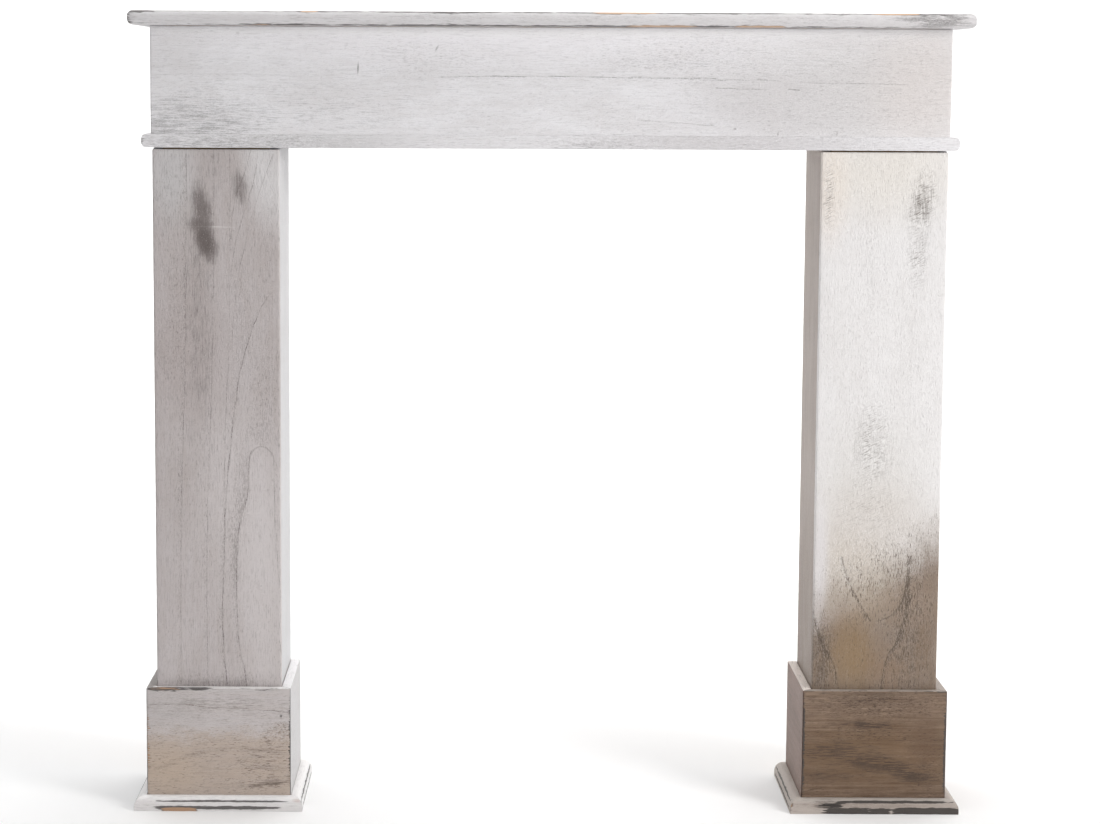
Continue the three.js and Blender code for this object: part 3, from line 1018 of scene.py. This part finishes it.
# %% [markdown]
# ## The feet: plinths and base mouldings
#
# Round each leg run three boards, mitred at the two front corners, and round those a moulding with
# its upper edge rounded over. Each length is bevelled while it is still square, and then a plane at
# 45 degrees through its front corner cuts the mitre, so the two halves of a corner always match.

# %% Cutting a mitre
BASE_ROUND = 12 * MM
BASE_LOOPS = (1.5 * MM, 3 * MM, 4.5 * MM)  # extra loops below the rounding, for its worn lines
CUT_TOLERANCE = MM / 1000


def cut_plane(bm, place, normal, **more):
    """Cuts all faces along a plane and returns what lies in the cut."""
    return bmesh.ops.bisect_plane(bm, geom=bm.verts[:] + bm.edges[:] + bm.faces[:], dist=CUT_TOLERANCE,
                                  plane_co=place, plane_no=normal, **more)["geom_cut"]


def cut_mitre(bm, corner, outward):
    """Cuts away what lies outwards of an upright plane through the corner, and closes the cut."""
    cut = cut_plane(bm, corner, outward, clear_outer=True)
    bmesh.ops.contextual_create(bm, geom=[e for e in cut if isinstance(e, bmesh.types.BMEdge)])


def make_length(node, finish, seed, wear, moulded, stretches=()):
    """One mitred length. moulded lengths get the large rounding along their outer upper edge."""
    low, high = (Vector(c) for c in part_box(node))
    wide = high.x - low.x > high.y - low.y
    bm = stretched_cube(low, high)
    cut_into_steps(bm, low, high)
    if moulded:
        outer = low.x if looks_left(node) else high.x
        if wide:
            nose = arrises(bm, lambda m: high.z - m.z < TOUCHING and m.y - low.y < TOUCHING)
        else:
            nose = arrises(bm, lambda m: high.z - m.z < TOUCHING and abs(m.x - outer) < TOUCHING)
        round_over(bm, nose, BASE_ROUND, 8)
        support_flats(bm, lambda face: abs(face.normal[0 if wide else 1]) < 0.9)
        for height in BASE_LOOPS:
            cut_plane(bm, (0, 0, low.z + height), (0, 0, 1))
    else:
        round_over(bm, arrises(bm), EASED, 3)
        support_flats(bm)
    if wide:
        cut_mitre(bm, low, (-1, 1, 0))
        cut_mitre(bm, Vector((high.x, low.y, low.z)), (1, 1, 0))
    elif looks_left(node):
        cut_mitre(bm, low, (1, -1, 0))
    else:
        cut_mitre(bm, Vector((high.x, low.y, low.z)), (-1, -1, 0))
    wear_down(bm, low, high, seed, wear, stretches)
    return finish_piece(node, bm, finish, inward_of(node))


# %% The left foot
left_plinth = "left_plinth_face"
tan_below = seen_at(245, 722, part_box(left_plinth)[0][1]).z
tan_full = seen_at(245, 746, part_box(left_plinth)[0][1]).z
left_plinth_wash = whitewash(
    "left_plinth_wash", "X", 41, (199, 193, 193), (180, 157, 134), left_plinth, cover=0.95, pores=0.7,
    wisps=0.4, streaks=0.3, figure=(60, 20, 0.05, -400, [(30, 0.4), (60, 0.3)], 0.2),
    lines=[(4.5, 0.3, 0, (152, 770), (164, 766), (195, 754), (228, 749), (261, 750), (291, 756)),
           (1.1, 0.75, -1, (248, 787), (262, 784.5), (278, 783), (292, 779.5)),
           (1.0, 0.6, 0, (148, 705), (170, 704), (198, 706), (222, 710)),
           (1.0, 0.6, 0, (228, 707), (250, 709), (276, 711), (291, 713)),
           (0.9, 0.5, 0, (150, 787), (163, 786), (172, 787))],
    tints=[(281, 716, 1.4, 1.6, 0, 0.9, WORN_GREY), (168, 706, 36, 20, 0, 0.4, (178, 172, 170)),
           (160, 770, 40, 26, 0, 0.35, (196, 174, 150))],
    brown=(Vector((0, 0, -1)), -tan_below, -tan_full, 0.52), stain_colour=(100, 86, 75),
    stains=[(220, 705, 80, 8, 0, 0.35), (270, 783, 26, 5, -8, 0.5), (268, 762, 26, 16, 0, 0.25)],
    speckles=[(262, 768, 34, 26, 0, 0.45), (200, 702, 70, 20, 0, 0.7), (276, 725, 22, 34, 0, 0.7)],
    # painted light: the plinth's top is painted near white
    painted_top_light_and_shade=(250, 249, 248))
worn_top = stretches_on(left_plinth, (144, 186, 689, 152, 160, 1.05, 0.55),
                        (150, 222, 689, 154, 160, 0.9))
worn_corners = [upright_stretch(left_plinth, 690, 796, 291.5, 0.8),
                upright_stretch(left_plinth, 700, 780, 147.5, 0.5, 0.6)]
make_length(left_plinth, left_plinth_wash, 41, 0.45, False, worn_top + worn_corners)
# painted light on the inner side's top, painted shade on the outer side's top, where the leg shades it
for board, seed, painted_top_light_and_shade in (("inner", 42, (255, 254, 255)), ("outer", 43, (144, 135, 131))):
    node = f"left_plinth_{board}_side"
    finish = whitewash(f"{node}_wash", "Y", seed, (200, 199, 200), BROWN, cover=0.96, painted_top_light_and_shade=painted_top_light_and_shade)
    make_length(node, finish, seed, 0.3, False)
left_base = "left_base_face"
left_base_wash = whitewash(
    "left_base_wash", "X", 44, (232, 229, 229), BROWN, left_base, cover=0.96, pores=0.5, wisps=0.35,
    # painted light: the top of the base is painted near white
    painted_top_light_and_shade=(252, 251, 251), ragged=0.6, tints=[(297, 800, 5, 3, 0, 0.5, (196, 160, 148))])
make_length(left_base, left_base_wash, 44, 0.25, True,
            stretches_on(left_base, (147, 296, 799, 10.8, 14.6, 1.3), (140, 290, 807, 2.6, 6.6, 1.2),
                         (158, 200, 808, -3, 6, 1.2, 1.0)))
for board, seed in (("inner", 45), ("outer", 46)):
    node = f"left_base_{board}_side"
    # painted light on the tops of the side lengths
    finish = whitewash(f"{node}_wash", "Y", seed, (230, 229, 230), BROWN, cover=0.95, pores=0.4,
                       ragged=0.7, painted_top_light_and_shade=(242, 240, 239))
    make_length(node, finish, seed, 0.4, True,
                [side_stretch(node, 10.8, 14.6, 1.1), side_stretch(node, 2.6, 6.6, 0.8)])
print("left foot made")

# %% The right foot
right_plinth = "right_plinth_face"
# painted shade: the right foot stands in shadow, so its wash is thin and brown; its lighter top is
# painted light. The grain lines and stains on it are its own.
right_plinth_wash_and_shade = whitewash(
    "right_plinth_wash_and_shade", "X", 51, (154, 131, 112), (85, 64, 47), right_plinth, cover=0.45, streaks=1.6,
    clouds=0.6, pores=0.8, wisps=0.8, figure=(60, 18, 0.05, 400, [(20, 0.5), (41, 0.4), (66, 0.5)], 0.4),
    lines=[(1.4, 0.9, 0, (852, 724), (860, 726), (868, 727), (880, 727.5)),
           (1.2, 0.9, 0, (803, 792), (812, 789.5), (822, 788))], stain_colour=(62, 47, 36),
    stains=[(866, 725, 40, 5, 3, 0.8), (835, 752, 44, 16, 0, 0.6), (880, 764, 52, 11, 8, 0.8),
            (912, 776, 30, 9, 8, 0.8), (828, 776, 34, 9, 0, 0.5), (870, 700, 70, 12, 0, 0.4)],
    speckles=[(880, 705, 66, 16, 0, 0.9), (862, 732, 50, 14, 0, 0.6), (930, 770, 20, 34, 0, 0.5)],
    tints=[(876, 755, 120, 40, 0, 0.6, (107, 79, 48)), (928, 744, 20, 26, 0, 0.45, (88, 64, 46))],
    fray=1.3, painted_top_light_and_shade=(178, 168, 160))
make_length(right_plinth, right_plinth_wash_and_shade, 51, 0.5, False,
            [upright_stretch(right_plinth, 694, 800, 803.8, 0.8),
             upright_stretch(right_plinth, 700, 800, 947, 1.0)])
# painted shade on the sides' brown wash, painted light on their lighter tops
for board, seed, painted_top_light_and_shade in (("inner", 52, (246, 236, 228)), ("outer", 53, (186, 176, 168))):
    node = f"right_plinth_{board}_side"
    finish = whitewash(f"{node}_wash", "Y", seed, (142, 119, 109), (92, 70, 56),
                       cover=0.78, streaks=1.3, clouds=0.6, wisps=0.6, painted_top_light_and_shade=painted_top_light_and_shade)
    make_length(node, finish, seed, 0.4, False)
right_base = "right_base_face"
corner_x, corner_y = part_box(right_base)[0][:2]
inner_corner = ((corner_x - MM, corner_y - MM, 0),
                (corner_x + CORNER_REACH, corner_y + CORNER_REACH, 30 * MM), 0.8, 0.6)
# painted shade: the right base is painted a darker grey-brown, top and front; its black worn lines are
# wear
right_base_wash_and_shade = whitewash(
    "right_base_wash_and_shade", "X", 54, (188, 178, 171), BROWN, right_base, cover=0.92, pores=0.7, wisps=0.4,
    ragged=0.7, worn_colour=(24, 18, 14), painted_top_light_and_shade=(180, 172, 165), stains=[(826, 805, 20, 4, 0, 0.7)],
    stain_colour=(62, 50, 42), tints=[(880, 806, 90, 4, 0, 0.8, (150, 137, 128))])
make_length(right_base, right_base_wash_and_shade, 54, 0.3, True,
            stretches_on(right_base, (822, 962, 801.5, 13.4, 16.6, 1.2), (813, 850, 805, 7, 14, 0.72),
                         (817, 900, 810, -3, 9.2, 0.95), (885, 972, 810, -3, 9.4, 1.2)) + [inner_corner])
# painted shade on the side lengths of the right base as well
for board, seed in (("inner", 55), ("outer", 56)):
    node = f"right_base_{board}_side"
    finish = whitewash(f"{node}_wash", "Y", seed, (187, 177, 169), BROWN, pores=0.5,
                       worn_colour=(50, 42, 36))
    make_length(node, finish, seed, 0.4, True,
                [side_stretch(node, 10.8, 14.6, 1.1), side_stretch(node, 2.6, 7, 1.0)])
print("right foot made")
